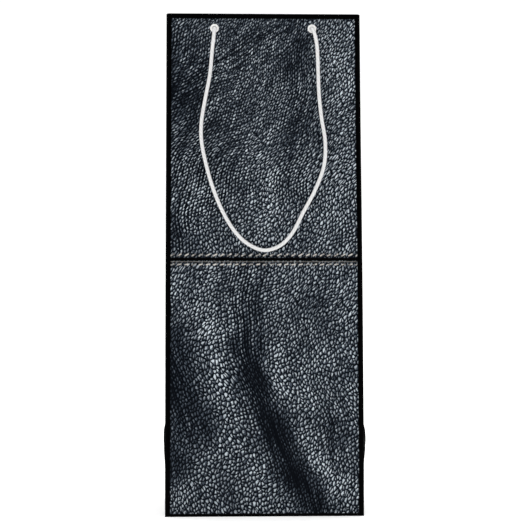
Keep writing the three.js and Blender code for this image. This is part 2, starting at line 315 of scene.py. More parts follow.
def on_wall(across, along, inset, back=False):
    """Points at these distances on the front wall, or on the back wall: the same, turned half round."""
    table, tilts, depths, heights = profile_table()
    tilt = np.interp(along, table, tilts)
    inwards = inset - bow(along)
    y = -HALF_DEPTH + np.interp(along, table, depths) + inwards * np.cos(tilt)
    z = np.interp(along, table, heights) - inwards * np.sin(tilt)
    x = across + 0 * y
    turn = -1 if back else 1
    return np.stack([turn * x, turn * y, z], axis=-1)


def over_the_top(q, top, radius):
    """Along, inset and turn (0 to 1) of paper that rises to top, goes over a half circle and comes down."""
    start = top - radius
    angle = np.clip((q - start) / radius, 0, math.pi)
    down = np.maximum(q - start - math.pi * radius, 0)
    along = np.where(q < start, q, start + radius * np.sin(angle) - down)
    return along, radius * (1 - np.cos(angle)), angle / math.pi


def steps(stops, sizes):
    """Values from the first stop to the last that include every stop, about sizes apart.

    sizes is one number, or one for each gap between stops."""
    gaps = zip(stops, stops[1:], np.broadcast_to(sizes, len(stops) - 1))
    parts = [np.linspace(a, b, max(2, round((b - a) / size) + 1))[:-1] for a, b, size in gaps]
    return np.concatenate([*parts, [stops[-1]]])


def round_holes(across, q, centres):
    """Moves the grid lines' squares round each hole's centre onto circles, fading over two more cells."""
    across, q = across.copy(), q.copy()
    for x0, q0 in centres:
        dx, dq = across - x0, q - q0
        ring = np.maximum(abs(dx), abs(dq)) / HOLE_CELL
        near = (ring > 0.5) & (ring < 4.1)
        distance = np.hypot(dx, dq)
        roundness = smooth((4 - ring) / 2)
        wanted = ring * HOLE_CELL * roundness + distance * (1 - roundness)
        scale = np.where(near, wanted / np.maximum(distance, 1e-9), 1)
        across, q = x0 + dx * scale, q0 + dq * scale
    return across, q


def streaks(x, s, lines):
    """The sum of soft streaks: each is its gain times a Gaussian of the distance to its line."""
    total = np.zeros(x.shape)
    for x0, s0, x1, s1, width, gain in lines:
        ux, us = x1 - x0, s1 - s0
        t = np.clip(((x - x0) * ux + (s - s0) * us) / (ux * ux + us * us), 0, 1)
        distance = np.hypot(x - x0 - t * ux, s - s0 - t * us)
        total += gain * np.exp(-(distance / width) ** 2)
    return total


def leather_shade(across, along):
    """How light the folds make the leather: a constant plus e to the sum of the streaks and a ripple."""
    x, s = across / MM, along / MM
    total = streaks(x, s, FOLDS) + 0.08 * np.sin(x / 9 + 2.1 * np.sin(s / 23)) * np.sin(s / 17 + 1.3)
    return 0.16 + 0.86 * np.exp(total)


def leather_grain(across, along):
    """Coordinates that the pebbles and wrinkles are drawn in, which lengthen both along the wrinkles.

    The first is the distance across the wrinkles. They rise to the right at the upper left, run
    up and down near the seam, and fall to the right low down, so it is the paper's own across
    less one tanh of the distance along for each slant. Slow sines wander both, and each deep
    fold squeezes them towards its line."""
    x, s = across / MM, along / MM
    slant = 34 * (np.tanh((s - 285) / 60) + 1) * (1 - 0.6 * smooth((x + 60) / 130))
    slant = slant - 26 * np.tanh((s - 62) / 62)
    gx = x - slant + 2.6 * np.sin(s / 17 + 0.6) + 1.3 * np.sin(s / 7.3 + x / 31)
    gs = 0.80 * s + 3.0 * np.sin(x / 19 + 1.1) + 0.7 * np.sin(x / 6.1 + s / 29)
    for x0, s0, x1, s1, width, gain in FOLDS:
        if gain < -0.8:
            length = math.hypot(x1 - x0, s1 - s0)
            nx, ns = (s1 - s0) / length, -(x1 - x0) / length
            side = (x - x0) * nx + (s - s0) * ns
            t = ((x - x0) * (x1 - x0) + (s - s0) * (s1 - s0)) / length ** 2
            reach = np.exp(-(np.clip(abs(t - 0.5) - 0.5, 0, None) * length / width) ** 2)
            gx = gx + 2.2 * np.sign(nx) * np.tanh(side / width) * reach * np.exp(-(side / (3 * width)) ** 2)
    return gx, gs - 0.5 * gx


# ---- Materials ----------------------------------------------------------------------------------

class Shader:
    """Short calls that add nodes to one material and return the socket they give."""

    def __init__(self, name, roughness, specular=0.5, ior=1.5):
        self.material = bpy.data.materials.new(name)
        self.material.use_nodes = True
        self.tree = self.material.node_tree
        self.principled = self.tree.nodes["Principled BSDF"]
        self.principled.inputs["Roughness"].default_value = roughness
        self.principled.inputs["Specular IOR Level"].default_value = specular
        self.principled.inputs["IOR"].default_value = ior

    def node(self, kind, inputs=(), output=0, **properties):
        """A node of this kind. inputs are pairs of a socket and its value or source."""
        node = self.tree.nodes.new("ShaderNode" + kind)
        for key, value in properties.items():
            setattr(node, key, value)
        for key, value in inputs:
            self.put(node.inputs[key], value)
        return node.outputs[output]

    def put(self, socket, value):
        """Links a source to the socket, or sets the socket's own value."""
        if isinstance(value, bpy.types.NodeSocket):
            self.tree.links.new(value, socket)
        else:
            socket.default_value = value

    def math(self, operation, a, b=0.0, c=0.0):
        """One sum on up to three numbers."""
        return self.node("Math", [(0, a), (1, b), (2, c)], operation=operation)

    def ramp(self, value, low, high, to_low=0.0, to_high=1.0):
        """A smooth step from to_low where value is low to to_high where it is high."""
        return self.node("MapRange", [(0, value), (1, low), (2, high), (3, to_low), (4, to_high)],
                         interpolation_type="SMOOTHSTEP")

    def mix(self, factor, a, b):
        """The colour a where factor is 0 and b where it is 1."""
        return self.node("Mix", [(0, factor), (6, a), (7, b)], output=2, data_type="RGBA")

    def noise(self, vector, scale, detail=2.0, roughness=0.5, output=0):
        """Soft random values, or colours from output 1."""
        return self.node("TexNoise", [("Vector", vector), ("Scale", scale), ("Detail", detail),
                                      ("Roughness", roughness)], output=output)

    def vector(self, operation, a, b, c=(0.0, 0.0, 0.0)):
        """One sum on up to three vectors."""
        return self.node("VectorMath", [(0, a), (1, b), (2, c)], operation=operation)

    def split(self, vector):
        """The three numbers of a vector."""
        return tuple(self.node("SeparateXYZ", [(0, vector)]).node.outputs)

    def object_coordinates(self):
        """The place on the piece, in metres."""
        return self.node("TexCoord", output="Object")

    def uv(self, name):
        """The piece's map of this name."""
        return self.node("UVMap", uv_map=name)

    def value(self, name):
        """A number stored at the vertices."""
        return self.node("Attribute", output="Fac", attribute_name=name)

    def facing(self):
        """0 where the surface is seen square on and 1 where it is seen edge on."""
        return self.node("LayerWeight", [("Blend", 0.5)], output=1)

    def bump(self, height, distance, strength=1.0):
        """Raises the finish by height times distance."""
        normal = self.node("Bump", [("Height", height), ("Distance", distance), ("Strength", strength)])
        self.put(self.principled.inputs["Normal"], normal)

    def finish(self, color, roughness=None):
        """Gives the material its colour and roughness, and returns it."""
        self.put(self.principled.inputs["Base Color"], color)
        if roughness is not None:
            self.put(self.principled.inputs["Roughness"], roughness)
        return self.material


def made(name, make):
    """The material of this name, made the first time that it is asked for."""
    return bpy.data.materials.get(name) or make(name)


def printed_leather(name):
    """The print: bright pebbles in dark gaps, with a drawn seam, stitches and a black edge."""
    values = settings().print_face
    s = Shader(name, 0.5, 0.02)
    x, along, _ = s.split(s.uv("Surface"))
    light = pebble_light(s, 1 / (values.pebble / MM))
    color = s.mix(s.ramp(light, 0.02, 0.52), values.dark, values.middle)
    color = s.mix(s.ramp(light, 0.40, 1.45), color, values.bright)
    color = with_seam(s, color, x, s.math("SUBTRACT", along, values.seam_along))
    color = with_border(s, color, x, along)
    s.bump(s.noise(s.object_coordinates(), 55, 2.0), 0.25 * MM, 0.5)
    return s.finish(color, s.ramp(s.noise(s.object_coordinates(), 90, 3.0), 0.3, 0.7, 0.45, 0.55))


def pebble_light(s, cells):
    """How light the leather is: the pebbles' lit sides and fine marks, times the folds' shade.

    cells is the number of pebbles to a millimetre. In rows the pebbles stand in straighter lines, with
    drawn ridges along them that are strongest in the dark folds."""
    grain = s.uv("Grain")
    shade, rows, sloping = [s.value(name) for name in ("Shade", "Rows", "Sloping")]
    warp = s.vector("SUBTRACT", s.noise(grain, 0.42, 2.0, output=1), (0.5, 0.5, 0.5))
    warped = s.vector("MULTIPLY_ADD", warp, (2.0, 2.0, 0), grain)
    random = s.math("MULTIPLY_ADD", rows, -0.36, 0.92)
    pebble = voronoi(s, warped, cells, random, "F1")
    beside = voronoi(s, s.vector("ADD", warped, (-0.35, 0.45, 0)), cells, random, "F1")
    lit_side = s.ramp(s.math("SUBTRACT", beside, pebble), -0.12, 0.33)
    each = s.node("SeparateColor", [(0, pebble.node.outputs["Color"])])
    height = s.ramp(voronoi(s, warped, cells, random, "DISTANCE_TO_EDGE"), 0.02, 0.30)
    fine = s.ramp(s.noise(grain, 2.6, 3.0, 0.7), 0.34, 0.70, 0.62, 1.35)
    patch = s.ramp(s.noise(grain, 0.09, 2.0), 0.32, 0.66, 0.85, 1.12)

    ridges = s.noise(s.vector("MULTIPLY", grain, (0.26, 0.035, 1.0)), 1.0, 3.0, 0.6)
    ridges = s.ramp(ridges, 0.36, 0.64, -0.62, 0.55)
    ridged = s.math("MULTIPLY", rows, s.ramp(shade, 0.35, 0.95, 1.1, 0.36))
    patch = s.math("MULTIPLY", patch, s.math("MULTIPLY_ADD", ridges, ridged, 1.0))
    creased = s.math("MULTIPLY_ADD", s.math("MAXIMUM", rows, sloping), 0.85, 0.12)
    crease = s.math("MULTIPLY", creases(s, warped, cells, sloping), creased)

    light = s.math("MULTIPLY", lit_side, s.ramp(each, 0.0, 1.0, 0.75, 1.15))
    light = s.math("MULTIPLY_ADD", light, 0.85, 0.40)
    for factor in (height, fine, patch, shade, s.math("SUBTRACT", 1.0, crease)):
        light = s.math("MULTIPLY", light, factor)
    return light


def with_seam(s, leather, x, off):
    """The leather with its drawn seam where off is 0, a pale lip under it and two rows of stitches."""
    values = settings().print_face
    stitch_rows = [(2.95 * MM, 3.6 * MM, 0.5), (-3.75 * MM, 3.2 * MM, 0.22)]
    stitch_width = 0.95 * MM
    half = values.seam_width / 2
    distance = s.math("ABSOLUTE", off)
    color = s.mix(s.ramp(distance, 1.6 * MM, 5.6 * MM, 0.35, 1.0), values.dark, leather)
    from_lip = s.math("ABSOLUTE", s.math("ADD", off, values.seam_width * 0.86))
    lip = s.ramp(from_lip, 0.15 * MM, 0.5 * MM, 0.18, 0.0)
    lip = s.math("MULTIPLY", lip, s.ramp(s.noise(s.uv("Grain"), 0.8), 0.35, 0.65, 0.5, 1.0))
    color = s.mix(lip, color, values.thread)
    color = s.mix(s.ramp(distance, half - 0.3 * MM, half + 0.15 * MM, 1.0, 0.0), color, values.border)
    uneven = s.ramp(s.noise(s.uv("Surface"), 420, 2.0, 0.6), 0.36, 0.58, 0.15, 0.85)
    for row, length, slant in stitch_rows:
        rod = stitches(s, x, s.math("SUBTRACT", off, row), length, stitch_width, slant, values.stitch_pitch)
        color = s.mix(s.math("MULTIPLY", rod, uneven), color, values.thread)
    return color


def with_border(s, leather, x, along):
    """The leather inside its black edge at the sides, the mouth and the base."""
    values = settings().print_face
    side = s.math("SUBTRACT", HALF_WIDTH - values.side_border, s.math("ABSOLUTE", x))
    top = s.math("SUBTRACT", TOTAL - values.top_border, along)
    bottom = s.math("SUBTRACT", along, values.bottom_border)
    within = s.math("MINIMUM", s.math("MINIMUM", side, top), bottom)
    return s.mix(s.ramp(within, -0.15 * MM, 0.25 * MM, 1.0, 0.0), leather, values.border)


def voronoi(s, vector, scale, randomness, feature):
    """Flat cells, which stand in rows where randomness is low and are scattered where it is high."""
    return s.node("TexVoronoi", [("Vector", vector), ("Scale", scale), ("Randomness", randomness)],
                  voronoi_dimensions="2D", feature=feature)


def creases(s, grain, cells, sloping):
    """Dark lines that run along the grain between the rows of cells, broken here and there by slow noise.

    Where sloping is 1 they run across the grain instead."""
    lines = []
    for lane, stretch in zip(s.split(grain), ((0.30, 0.05, 1.0), (0.05, 0.30, 1.0))):
        phase = s.math("FRACT", s.math("MULTIPLY", lane, cells))
        line = s.ramp(s.math("ABSOLUTE", s.math("SUBTRACT", phase, 0.5)), 0.10, 0.32, 1.0, 0.0)
        broken = s.noise(s.vector("MULTIPLY", grain, stretch), 1.0, 1.0)
        lines.append(s.math("MULTIPLY", line, s.ramp(broken, 0.40, 0.54, 0.15, 1.0)))
    return s.math("MULTIPLY_ADD", sloping, s.math("SUBTRACT", lines[1], lines[0]), lines[0])


def stitches(s, x, dy, length, width, slant, pitch):
    """One row of drawn stitches: short rods that repeat across, turned by the slant, with soft ends.

    dy is the distance above the row's middle."""
    phase = s.math("FRACT", s.math("MULTIPLY_ADD", x, 1 / pitch, 0.37))
    dx = s.math("MULTIPLY", s.math("SUBTRACT", phase, 0.5), pitch)
    cos, sin = math.cos(slant), math.sin(slant)
    a = s.math("ADD", s.math("MULTIPLY", dx, cos), s.math("MULTIPLY", dy, sin))
    b = s.math("SUBTRACT", s.math("MULTIPLY", dy, cos), s.math("MULTIPLY", dx, sin))
    ends = s.ramp(s.math("ABSOLUTE", a), length / 2 - 0.5 * MM, length / 2 + 0.2 * MM, 1.0, 0.0)
    sides = s.ramp(s.math("ABSOLUTE", b), width / 2 - 0.3 * MM, width / 2 + 0.2 * MM, 1.0, 0.0)
    return s.math("MULTIPLY", ends, sides)


def black_paper(name):
    """Black print under satin film: faint scuffs, slow waves in the paper, and paler worn creases."""
    s = Shader(name, 0.5, 0.5, 1.12)
    place = s.object_coordinates()
    scuff = s.ramp(s.noise(place, 700, 4.0, 0.7), 0.62, 0.8, 0.0, 0.35)
    worn = s.math("MULTIPLY", s.value("Worn"), s.ramp(s.noise(place, 900, 3.0), 0.35, 0.65))
    color = s.mix(s.math("MAXIMUM", scuff, worn), settings().paper.black, (0.035, 0.035, 0.038, 1))
    s.put(s.principled.inputs["Specular IOR Level"], s.ramp(s.facing(), 0.72, 0.92, 0.5, 0.0))
    s.bump(s.noise(place, 45, 2.0), 0.35 * MM, 0.6)
    return s.finish(color, s.ramp(s.noise(place, 260, 3.0), 0.3, 0.7, 0.28, 0.46))


def white_paper(name):
    """The unprinted side: matt, with cloudy fibre and a fine tooth."""
    s = Shader(name, 0.85, 0.2)
    place = s.object_coordinates()
    cloud = s.ramp(s.noise(place, 160, 4.0, 0.6), 0.3, 0.7)
    white = settings().paper.white
    color = s.mix(cloud, [0.93 * v for v in white[:3]] + [1], white)
    s.bump(s.noise(place, 2500, 3.0), 0.04 * MM, 0.6)
    return s.finish(color)


def grey_board(name):
    """Recycled grey card: specks of darker and lighter fibre."""
    s = Shader(name, 0.9, 0.2)
    place = s.object_coordinates()
    specks = s.ramp(s.noise(place, 1300, 4.0, 0.7), 0.35, 0.65)
    color = s.mix(specks, (0.30, 0.275, 0.235, 1), (0.46, 0.43, 0.38, 1))
    s.bump(s.noise(place, 1800, 3.0), 0.06 * MM, 0.7)
    return s.finish(color)


def white_plastic(name):
    """Moulded white plastic, faintly mottled."""
    s = Shader(name, 0.32, 0.5)
    place = s.object_coordinates()
    color = s.mix(s.ramp(s.noise(place, 900, 2.0), 0.35, 0.7), (0.77, 0.76, 0.75, 1), (0.82, 0.82, 0.81, 1))
    s.bump(s.noise(place, 1500, 2.0), 0.03 * MM, 0.4)
    return s.finish(color)


def white_cord(name):
    """Glossy spun thread: fine fibres along each strand, painted shade between the strands and at the
    edges.
    """
    s = Shader(name, 0.6, 0.35)
    values = settings().cord
    around, along, _ = s.split(s.uv("Surface"))
    twisted = s.math("MULTIPLY_ADD", along, 1 / values.twist, around)
    fibre = s.node("CombineXYZ", [(0, s.math("MULTIPLY", twisted, 46.0)),
                                  (1, s.math("MULTIPLY", along, 260.0))])
    fibres = s.noise(fibre, 1.0, 3.0, 0.6)
    color = s.mix(s.ramp(fibres, 0.3, 0.62), [0.84 * v for v in values.white[:3]] + [1], values.white)
    # Painted shade: the colour turns grey in the grooves between the strands, where shade would fall.
    color = s.mix(s.math("MULTIPLY", s.value("Groove"), 0.55), color, (0.42, 0.42, 0.44, 1))
    # Painted shade: the cord is painted darker where it is seen edge on, except near its cut ends.
    to_end = s.math("MINIMUM", along, s.math("SUBTRACT", values.length, along))
    edge = s.math("MULTIPLY", s.ramp(s.facing(), 0.3, 0.9, 0.0, 0.9), s.ramp(to_end, 8 * MM, 13 * MM))
    color = s.mix(edge, color, (0.16, 0.16, 0.17, 1))
    s.principled.inputs["Sheen Weight"].default_value = 0.05
    s.bump(fibres, 0.10 * MM, 0.7)
    return s.finish(color)


# ---- The face sheets and the rest of the paper --------------------------------------------------

def face_sheet(back, materials):
    """One printed wall from the base to the mouth, turned in over the stiffener to make the hem.

    Across and the length q along the paper make the grid. over_the_top turns q into a place along
    and inset, and the hem is drawn in a little at its sides, as it is trimmed to clear the gussets."""
    radius = STACK / 2
    start = TOTAL - radius
    turned_at = start + math.pi * radius
    hem_hole = turned_at + (start - HINGE_ALONG)
    end = turned_at + HEM_HEIGHT - radius
    size = settings().paper.grid
    patches = [v for x in (-EYELET_X, EYELET_X) for v in (x - HOLE_PATCH, x, x + HOLE_PATCH)]
    columns = steps([-HALF_WIDTH, *patches, HALF_WIDTH], [size, HOLE_CELL, HOLE_CELL] * 2 + [size])
    patches = [v for h in (HINGE_ALONG, hem_hole) for v in (h - HOLE_PATCH, h, h + HOLE_PATCH)]
    rows = steps([0, *patches[:3], start, turned_at, *patches[3:], end],
                 [size, HOLE_CELL, HOLE_CELL, size, size, size, HOLE_CELL, HOLE_CELL, size])
    rows = np.unique(np.concatenate([rows, np.linspace(start, turned_at, 9)]).round(7))
    across, q = np.meshgrid(columns, rows, indexing="ij")
    centres = [(x, h) for x in (-EYELET_X, EYELET_X) for h in (HINGE_ALONG, hem_hole)]
    across, q = round_holes(across, q, centres)
    middle_x = (across[:-1, :-1] + across[1:, 1:]) / 2
    middle_q = (q[:-1, :-1] + q[1:, 1:]) / 2
    paper = np.ones(middle_x.shape, bool)
    for x0, q0 in centres:
        paper &= np.hypot(middle_x - x0, middle_q - q0) > HOLE_RADIUS * 0.98

    along, inset, turned = over_the_top(q, TOTAL, radius)
    kept = EYELET_X + HOLE_PATCH
    narrower = (HEM_HALF_WIDTH - kept) / (HALF_WIDTH - kept)
    beyond = np.maximum(abs(across) - kept, 0)
    placed = across - np.sign(across) * beyond * (1 - narrower) * smooth(turned)
    points = on_wall(placed, along, inset, back)
    name = ("back" if back else "front") + "_face_sheet"
    piece, used = surface(name, points, np.stack([across, q], axis=-1), keep=paper)
    add_print(piece, across, q, used, back)
    thicken(piece, PAPER, materials)
    return piece


def add_print(piece, across, q, used, back):
    """Adds the map that the pebbles are drawn in and the print's shading. The back's print is mirrored
    and its pebbles are other ones."""
    flip = -1 if back else 1
    gx, gs = leather_grain(across * flip, q)
    grain = np.stack([gx + (211 if back else 0), gs], axis=-1).reshape(-1, 2)[used]
    loops = np.empty(len(piece.data.loops), np.int32)
    piece.data.loops.foreach_get("vertex_index", loops)
    layer = piece.data.uv_layers.new(name="Grain")
    layer.data.foreach_set("uv", grain[loops].astype(np.float32).ravel())
    piece.data.uv_layers["Surface"].active = True
    vertex_values(piece, "Shade", leather_shade(across * flip, q).reshape(-1)[used])
    for name, table in (("Rows", ROWS), ("Sloping", SLOPING)):
        values = np.clip(streaks(across * flip / MM, q / MM, table), 0, 1)
        vertex_values(piece, name, values.reshape(-1)[used])


def fold_in(height):
    """How far the gusset's middle has folded in: the mouth's fold times 1 - (1 - t) to the power 2.2."""
    t = np.clip((height - 14 * MM) / (WALL - 14 * MM), 0, 1)
    return FOLD_AT_MOUTH * (1 - (1 - t) ** 2.2)


def bulge(height, side):
    """How far the gusset's middle pokes out: a squared cosine just above the crease."""
    t = np.clip((height - 5 * MM) / (30 * MM), -1, 1)
    most = settings().paper.left_bulge if side < 0 else settings().paper.right_bulge
    return most * np.cos(t * math.pi / 2) ** 2


def on_gusset(u, along, inset, side, back):
    """Points of a half gusset: u from the wall (0) to the middle fold (1), on the side -1 or 1."""
    height = along - CREASE
    edge = on_wall(HALF_WIDTH, along, GUSSET_INSET)
    across = -edge[..., 1]
    fold = fold_in(height)
    length = np.hypot(fold, across)
    curl = 1.4 * MM * np.sin(math.pi * u) * smooth(height / (60 * MM))
    x = HALF_WIDTH - fold * u + bulge(height, side) * u * (2 - u) + curl - inset * across / length
    y = edge[..., 1] + across * u - inset * fold / length
    turn = -1 if back else 1
    return np.stack([side * x, turn * y, edge[..., 2]], axis=-1)


def worn_line(distance, width):
    """How worn the film is at this distance from a crease: a Gaussian of this width."""
    return np.exp(-(distance / width) ** 2)


def half_gusset(side, back, materials):
    """Half a gusset above the crease, tucked behind the lower gusset and turned in at the mouth."""
    radius, tuck, size = 0.5 * MM, 6 * MM, 2.5 * MM
    start = TOTAL - radius
    turned_at = start + math.pi * radius
    q = np.concatenate([
        steps([CREASE - tuck, CREASE, start], size)[:-1],
        np.linspace(start, turned_at, 7),
        steps([turned_at, turned_at + HEM_HEIGHT], size)[1:],
    ])
    u, q = np.meshgrid(np.linspace(0, 1, 25), q, indexing="ij")
    along, inset, turned = over_the_top(q, TOTAL, radius)
    u_placed = u + (0.22 * (1 - u)) * smooth(turned)
    inset = inset + (PAPER + 0.1 * MM) * smooth((CREASE + 4 * MM - along) / (4 * MM))
    points = on_gusset(u_placed, along, inset, side, back)
    word = "left" if side < 0 else "right"
    piece, _ = surface(f"{'back' if back else 'front'}_{word}_half_gusset_sheet", points,
                       np.stack([u * HALF_DEPTH, q], axis=-1))
    worn = worn_line((1 - u) * HALF_DEPTH, 0.5 * MM) + worn_line(along - CREASE, 0.6 * MM)
    vertex_values(piece, "Worn", np.clip(worn, 0, 1))
    if (side < 0) != back:
        piece.data.flip_normals()
    thicken(piece, PAPER, materials)
    return piece


def lower_gusset(side, materials):
    """A gusset below the crease, from wall to wall, with the creases of the folded base worn paler."""
    reach = HALF_DEPTH - GUSSET_INSET
    w, z = np.meshgrid(np.linspace(-1, 1, 45), steps([0, CREASE], 2 * MM), indexing="ij")
    x = HALF_WIDTH + bulge(z - CREASE, side) * (1 - w * w)
    points = np.stack([side * x, reach * w, z], axis=-1)
    word = "left" if side < 0 else "right"
    piece, _ = surface(f"{word}_lower_gusset_sheet", points, np.stack([w * reach, z], axis=-1))
    diagonal = abs((1 - abs(w)) * reach - z) / math.sqrt(2)
    worn = 0.8 * worn_line(diagonal, 0.5 * MM) + 0.7 * worn_line(CREASE - z, 0.5 * MM)
    vertex_values(piece, "Worn", np.clip(worn, 0, 1))
    if side < 0:
        piece.data.flip_normals()
    thicken(piece, PAPER, materials)
    return piece


def seam_flap(name, low, high, materials):
    """The glued flap inside the back wall, at the left: a strip that follows the wall."""
    outer = HALF_WIDTH - 2 * MM
    across, along = np.meshgrid(np.linspace(outer - SEAM_FLAP_WIDTH, outer, 9), steps([low, high], 3 * MM),
                                indexing="ij")
    points = on_wall(across, along, PAPER + 0.05 * MM, back=True)
    piece, _ = surface(name, points, np.stack([across, along], axis=-1))
    thicken(piece, PAPER * 0.8, materials)
    return piece


# ---- Cords, knots and eyelets -------------------------------------------------------------------

def run_along(path):
    """The distance along a path to each of its points."""
    return np.concatenate([[0], np.cumsum(np.linalg.norm(np.diff(path, axis=0), axis=1))])


def tube(name, path, reference, radius, close=False, lobes=3, depth=0.09, sides=24):
    """A tube along path with strands twisted round it.

    At each station the ring lies square to the path, measured from the reference direction. Its
    radius is less by depth times the square of 1 - |cos| of the strand angle, so there is a groove
    between each two of the lobes. They turn once round the path in each twist length."""
    if close:
        direction = np.roll(path, -1, axis=0) - np.roll(path, 1, axis=0)
        run = run_along(np.vstack([path, path[:1]]))
        turns_in_all = max(1, round(run[-1] / settings().cord.twist * lobes)) / lobes
    else:
        direction = np.gradient(path, axis=0)
        run = run_along(path)
        turns_in_all = run[-1] / settings().cord.twist
    tangent = direction / np.linalg.norm(direction, axis=1)[:, None]
    first = reference - (reference * tangent).sum(1)[:, None] * tangent
    first /= np.linalg.norm(first, axis=1)[:, None]
    second = np.cross(tangent, first)
    turn = np.linspace(0, 1, sides, endpoint=False)
    phase = turn[:, None] + run[:len(path)] / run[-1] * turns_in_all
    strand = abs(np.cos(math.pi * lobes * phase))
    groove = (1 - strand) ** 2
    size = radius * (1 - depth * groove)
    angle = 2 * math.pi * turn[:, None]
    points = path + (np.cos(angle) * size)[..., None] * first + (np.sin(angle) * size)[..., None] * second
    turns = np.concatenate([turn, [1]])[:, None]
    uv = np.stack(np.broadcast_arrays(turns, run), axis=-1)
    piece, _ = surface(name, points, uv, close_u=True, close_v=close, caps=not close)
    # The groove's depth is kept for the cord's colour, which paints shade into the grooves.
    vertex_values(piece, "Groove", groove)
    return piece


def loop_path(back):
    """The cord's centre line from the left knot through the eyelets to the right knot, facing the wall.

    The listed points are joined by a centripetal spline. The cord comes straight out of its
    eyelet, swings out and down, and settles on the wall, which it follows over the bow."""
    swing, swing_at = 2.6 * MM, 6 * MM
    straight_end, ease = -0.9 * MM, 3.4 * MM
    down = spline(np.array(LOOP) * MM, 24)
    run = run_along(down)
    from_end = np.minimum(run, run[-1] - run)
    t = from_end / swing_at
    inset = HINGE_INSET - swing * t * np.exp(1 - t)
    hanging = np.column_stack([down[:, 0], HINGE_ALONG - down[:, 1], inset])[from_end > ease]
    straight = KNOT_INSET + (straight_end - KNOT_INSET) * np.linspace(0, 1, 6)[:-1]
    left, right = [np.column_stack([0 * straight + x, 0 * straight + HINGE_ALONG, straight])
                   for x in (-EYELET_X, EYELET_X)]
    route = np.vstack([left, hanging, right[::-1]])
    route = even(spline(route[curve_points(route)], 6), 0.7 * MM)
    return on_wall(*route.T, back)


def curve_points(route):
    """Which stations of a route the final spline passes through: all near the ends, fewer in between."""
    index = np.arange(len(route))
    near = np.minimum(index, len(route) - 1 - index) < 5
    return near | (index % 9 == 4)


def spline(points, count):
    """A centripetal Catmull-Rom curve through the points, with count steps between each two."""
    padded = np.vstack([2 * points[0] - points[1], points, 2 * points[-1] - points[-2]])
    a, b, c, d = padded[:-3], padded[1:-2], padded[2:-1], padded[3:]
    knots = [np.sqrt(np.linalg.norm(q - p, axis=1))[:, None] for p, q in ((a, b), (b, c), (c, d))]
    t = np.linspace(0, 1, count, endpoint=False)[:, None, None]
    slope_b = ((b - a) / knots[0] - (c - a) / (knots[0] + knots[1]) + (c - b) / knots[1]) * knots[1]
    slope_c = ((c - b) / knots[1] - (d - b) / (knots[1] + knots[2]) + (d - c) / knots[2]) * knots[1]
    curve = ((2 * t ** 3 - 3 * t ** 2 + 1) * b + (t ** 3 - 2 * t ** 2 + t) * slope_b
             + (-2 * t ** 3 + 3 * t ** 2) * c + (t ** 3 - t ** 2) * slope_c)
    return np.vstack([curve.transpose(1, 0, 2).reshape(-1, points.shape[1]), points[-1:]])


def even(path, size):
    """The same path with stations the same distance apart."""
    run = run_along(path)
    wanted = np.linspace(0, run[-1], round(run[-1] / size) + 1)
    return np.column_stack([np.interp(wanted, run, path[:, k]) for k in range(path.shape[1])])


def wall_directions(back):
    """Outward, up and sideways directions of the leaning wall at its eyelets."""
    turn = -1 if back else 1
    outward = np.array([0, -turn * math.cos(LEAN), math.sin(LEAN)])
    up = np.array([0, turn * math.sin(LEAN), math.cos(LEAN)])
    return outward, up, np.array([turn, 0, 0])


def handle(back, material):
    """One handle's cord as a tube from knot to knot."""
    path = loop_path(back)
    outward, _, sideways = wall_directions(back)
    run = run_along(path)
    away = smooth((np.minimum(run, run[-1] - run) - 8 * MM) / (26 * MM))[:, None]
    reference = sideways * (1 - away) + outward * away
    name = ("back" if back else "front") + "_handle"
    piece = tube(name, path, reference, settings().cord.diameter / 2)
    paint(piece, material)
    return piece, path


def knot(name, centre, back, lean, material):
    """A stopper knot: the cord along a trefoil, pulled flat against the wall, and the cut end below it."""
    outward, up, sideways = wall_directions(back)
    radius = settings().cord.diameter / 2
    t = np.linspace(0, 2 * math.pi, 180, endpoint=False)[:, None]
    spread, depth, sway = 0.86 * MM, 1.15 * MM, 1.6 * MM
    trefoil = (np.sin(t) + 2 * np.sin(2 * t)) * sideways + (np.cos(t) - 2 * np.cos(2 * t)) * up
    path = centre + spread * trefoil + depth * np.sin(3 * t) * outward
    ball = tube(name, path, np.tile(outward + 0.31 * up, (len(path), 1)), radius * 0.98, close=True)
    fall = np.linspace(0, 1, 40)[:, None]
    end = centre - fall * TAIL * up + np.sin(fall * 2.2) * sway * lean * sideways
    tail = tube(name + "_end", end, np.tile(sideways, (40, 1)), radius)
    join([ball, tail])
    paint(ball, material)
    return ball


def join(pieces):
    """Joins the pieces into the first."""
    with bpy.context.temp_override(active_object=pieces[0], selected_editable_objects=pieces):
        bpy.ops.object.join()


def eyelet(name, x, back, material):
    """A one-piece eyelet: a closed outline turned round the eyelet's axis.

    The outline's corners are cut three times over to round them: a domed flange on the face, the barrel
    through the wall's layers, and a rolled flange inside."""
    bore, barrel, flange = 1.48 * MM, 2.1 * MM, EYELET_RADIUS
    outline = np.array([
        (bore, -0.35 * MM), (bore + 0.35 * MM, -0.62 * MM), (flange * 0.72, -0.52 * MM),
        (flange, -0.22 * MM), (flange, 0), (barrel, 0), (barrel, STACK), (flange * 0.94, STACK + 0.05 * MM),
        (flange * 0.9, STACK + 0.5 * MM), (bore + 0.2 * MM, STACK + 0.55 * MM), (bore, STACK + 0.3 * MM),
    ])
    for _ in range(3):
        following = np.roll(outline, -1, axis=0)
        cut = np.stack([0.8 * outline + 0.2 * following, 0.2 * outline + 0.8 * following], axis=1)
        outline = cut.reshape(-1, 2)
    outward, up, sideways = wall_directions(back)
    turn = np.linspace(0, 1, 56, endpoint=False)
    angle = 2 * math.pi * turn[:, None, None]
    radius, inset = outline[:, :1], outline[:, 1:]
    centre = on_wall(np.array([x]), np.array([HINGE_ALONG]), np.array([0.0]), back)[0]
    points = centre + radius * (np.cos(angle) * sideways + np.sin(angle) * up) - inset * outward
    turns = np.linspace(0, 1, 57)[:, None]
    rings = np.linspace(0, 1, len(outline) + 1)[None]
    uv = np.stack(np.broadcast_arrays(turns, rings), axis=-1)
    piece, _ = surface(name, points, uv, close_u=True, close_v=True)
    paint(piece, material)
    return piece


